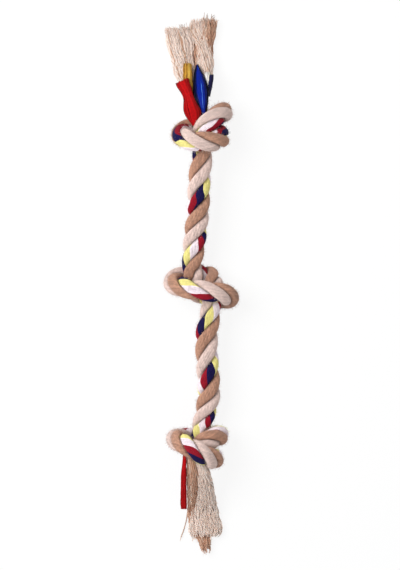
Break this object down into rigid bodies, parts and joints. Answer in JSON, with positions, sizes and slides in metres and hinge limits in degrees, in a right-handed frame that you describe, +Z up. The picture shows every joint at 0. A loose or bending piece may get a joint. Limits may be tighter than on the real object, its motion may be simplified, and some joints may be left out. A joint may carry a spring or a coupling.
{
  "type": "rope dog toy",
  "caption": "Thick twisted cotton rope tug toy tied in overhand knots, with frayed tassels of loose yarn at both ends, for a dog to chew and pull.",
  "frame": {"origin": "middle of the toy's box in plan, on the floor that it lies on", "axes": "+Y along the rope towards the end with the red and blue tails, +Z up from the floor, +X to the right as seen from above"},
  "size_m": [0.0702, 0.5082, 0.0677],
  "materials": {
    "tan": "matt twisted cotton yarn, tan to brown",
    "multicolour": "matt twisted cotton yarn in yellow, white, red and navy groups",
    "natural": "matt twisted cotton yarn, pale natural beige",
    "red": "fleecy red yarn with a slight sheen",
    "blue": "glossy royal blue yarn",
    "gold": "soft golden yellow yarn",
    "white": "soft white yarn"
  },
  "bodies": {
    "middle_knot": {"middle_knot_tan": "tan", "middle_knot_multicolour": "multicolour", "middle_knot_natural": "natural", "upper_span_lower_bend_tan": "tan", "upper_span_lower_bend_multicolour": "multicolour", "upper_span_lower_bend_natural": "natural", "lower_span_upper_bend_tan": "tan", "lower_span_upper_bend_multicolour": "multicolour", "lower_span_upper_bend_natural": "natural"},
    "upper_span": {"upper_span_tan": "tan", "upper_span_multicolour": "multicolour", "upper_span_natural": "natural", "upper_span_upper_bend_tan": "tan", "upper_span_upper_bend_multicolour": "multicolour", "upper_span_upper_bend_natural": "natural"},
    "lower_span": {"lower_span_tan": "tan", "lower_span_multicolour": "multicolour", "lower_span_natural": "natural", "lower_span_lower_bend_tan": "tan", "lower_span_lower_bend_multicolour": "multicolour", "lower_span_lower_bend_natural": "natural"},
    "top_knot": {"top_knot_tan": "tan", "top_knot_multicolour": "multicolour", "top_knot_natural": "natural", "top_left_neck": "natural", "top_right_neck": "natural", "top_tan_neck": "tan", "top_red_neck": "red", "top_blue_neck": "blue"},
    "bottom_knot": {"bottom_knot_tan": "tan", "bottom_knot_multicolour": "multicolour", "bottom_knot_natural": "natural", "bottom_tan_neck": "tan", "bottom_natural_neck": "natural", "bottom_red_neck": "red"},
    "top_tassel": {"top_right_bundle": "natural", "top_tan_bundle": "tan", "top_white_tail": "white"},
    "top_left_tuft": {"top_left_bundle": "natural", "top_gold_tail": "gold"},
    "top_red": {"top_red_tail": "red"},
    "top_blue": {"top_blue_tail": "blue"},
    "top_small_blue": {"top_small_blue_tail": "blue"},
    "bottom_tassel": {"bottom_tan_bundle": "tan", "bottom_natural_bundle": "natural"},
    "bottom_red": {"bottom_red_tail": "red"}
  },
  "joints": [
    {"name": "upper_span_lift", "type": "hinge", "parent": "middle_knot", "child": "upper_span", "pos_m": [-0.00731, 0.02431, 0.0256], "axis": [1, 0, 0], "range_deg": [-50, 50], "deforming": ["upper_span_lower_bend_tan", "upper_span_lower_bend_multicolour", "upper_span_lower_bend_natural"]},
    {"name": "top_knot_sway", "type": "hinge", "parent": "upper_span", "child": "top_knot", "pos_m": [0.00138, 0.11817, 0.03443], "axis": [0, 0, 1], "range_deg": [-50, 50], "deforming": ["upper_span_upper_bend_tan", "upper_span_upper_bend_multicolour", "upper_span_upper_bend_natural"]},
    {"name": "lower_span_lift", "type": "hinge", "parent": "middle_knot", "child": "lower_span", "pos_m": [0.00873, -0.03105, 0.029], "axis": [-1, 0, 0], "range_deg": [-50, 50], "deforming": ["lower_span_upper_bend_tan", "lower_span_upper_bend_multicolour", "lower_span_upper_bend_natural"]},
    {"name": "bottom_knot_sway", "type": "hinge", "parent": "lower_span", "child": "bottom_knot", "pos_m": [0.00394, -0.12457, 0.02267], "axis": [0, 0, 1], "range_deg": [-50, 50], "deforming": ["lower_span_lower_bend_tan", "lower_span_lower_bend_multicolour", "lower_span_lower_bend_natural"]},
    {"name": "top_tassel_lift", "type": "hinge", "parent": "top_knot", "child": "top_tassel", "pos_m": [0.00394, 0.17013, 0.024], "axis": [1, 0, 0], "range_deg": [-60, 45], "deforming": ["top_left_neck", "top_right_neck", "top_tan_neck", "top_red_neck", "top_blue_neck"]},
    {"name": "top_left_splay", "type": "hinge", "parent": "top_tassel", "child": "top_left_tuft", "pos_m": [-0.00206, 0.17013, 0.024], "axis": [0, 0, 1], "range_deg": [0, 25], "deforming": ["top_left_neck", "top_red_neck"]},
    {"name": "top_red_lift", "type": "hinge", "parent": "top_left_tuft", "child": "top_red", "pos_m": [-0.011, 0.17753, 0.03839], "axis": [1, 0, 0], "range_deg": [0, 70], "deforming": ["top_red_neck"]},
    {"name": "top_blue_lift", "type": "hinge", "parent": "top_tassel", "child": "top_blue", "pos_m": [0.0017, 0.17753, 0.03449], "axis": [1, 0, 0], "range_deg": [0, 70], "deforming": ["top_blue_neck"]},
    {"name": "top_small_blue_lift", "type": "hinge", "parent": "top_tassel", "child": "top_small_blue", "pos_m": [0.0107, 0.17813, 0.03432], "axis": [1, 0, 0], "range_deg": [0, 70]},
    {"name": "bottom_tassel_lift", "type": "hinge", "parent": "bottom_knot", "child": "bottom_tassel", "pos_m": [-0.00522, -0.17183, 0.0412], "axis": [-1, 0, 0], "range_deg": [-50, 45], "deforming": ["bottom_tan_neck", "bottom_natural_neck", "bottom_red_neck"]},
    {"name": "bottom_red_lift", "type": "hinge", "parent": "bottom_tassel", "child": "bottom_red", "pos_m": [-0.0161, -0.17923, 0.04608], "axis": [-1, 0, 0], "range_deg": [0, 70], "deforming": ["bottom_red_neck"]}
  ]
}
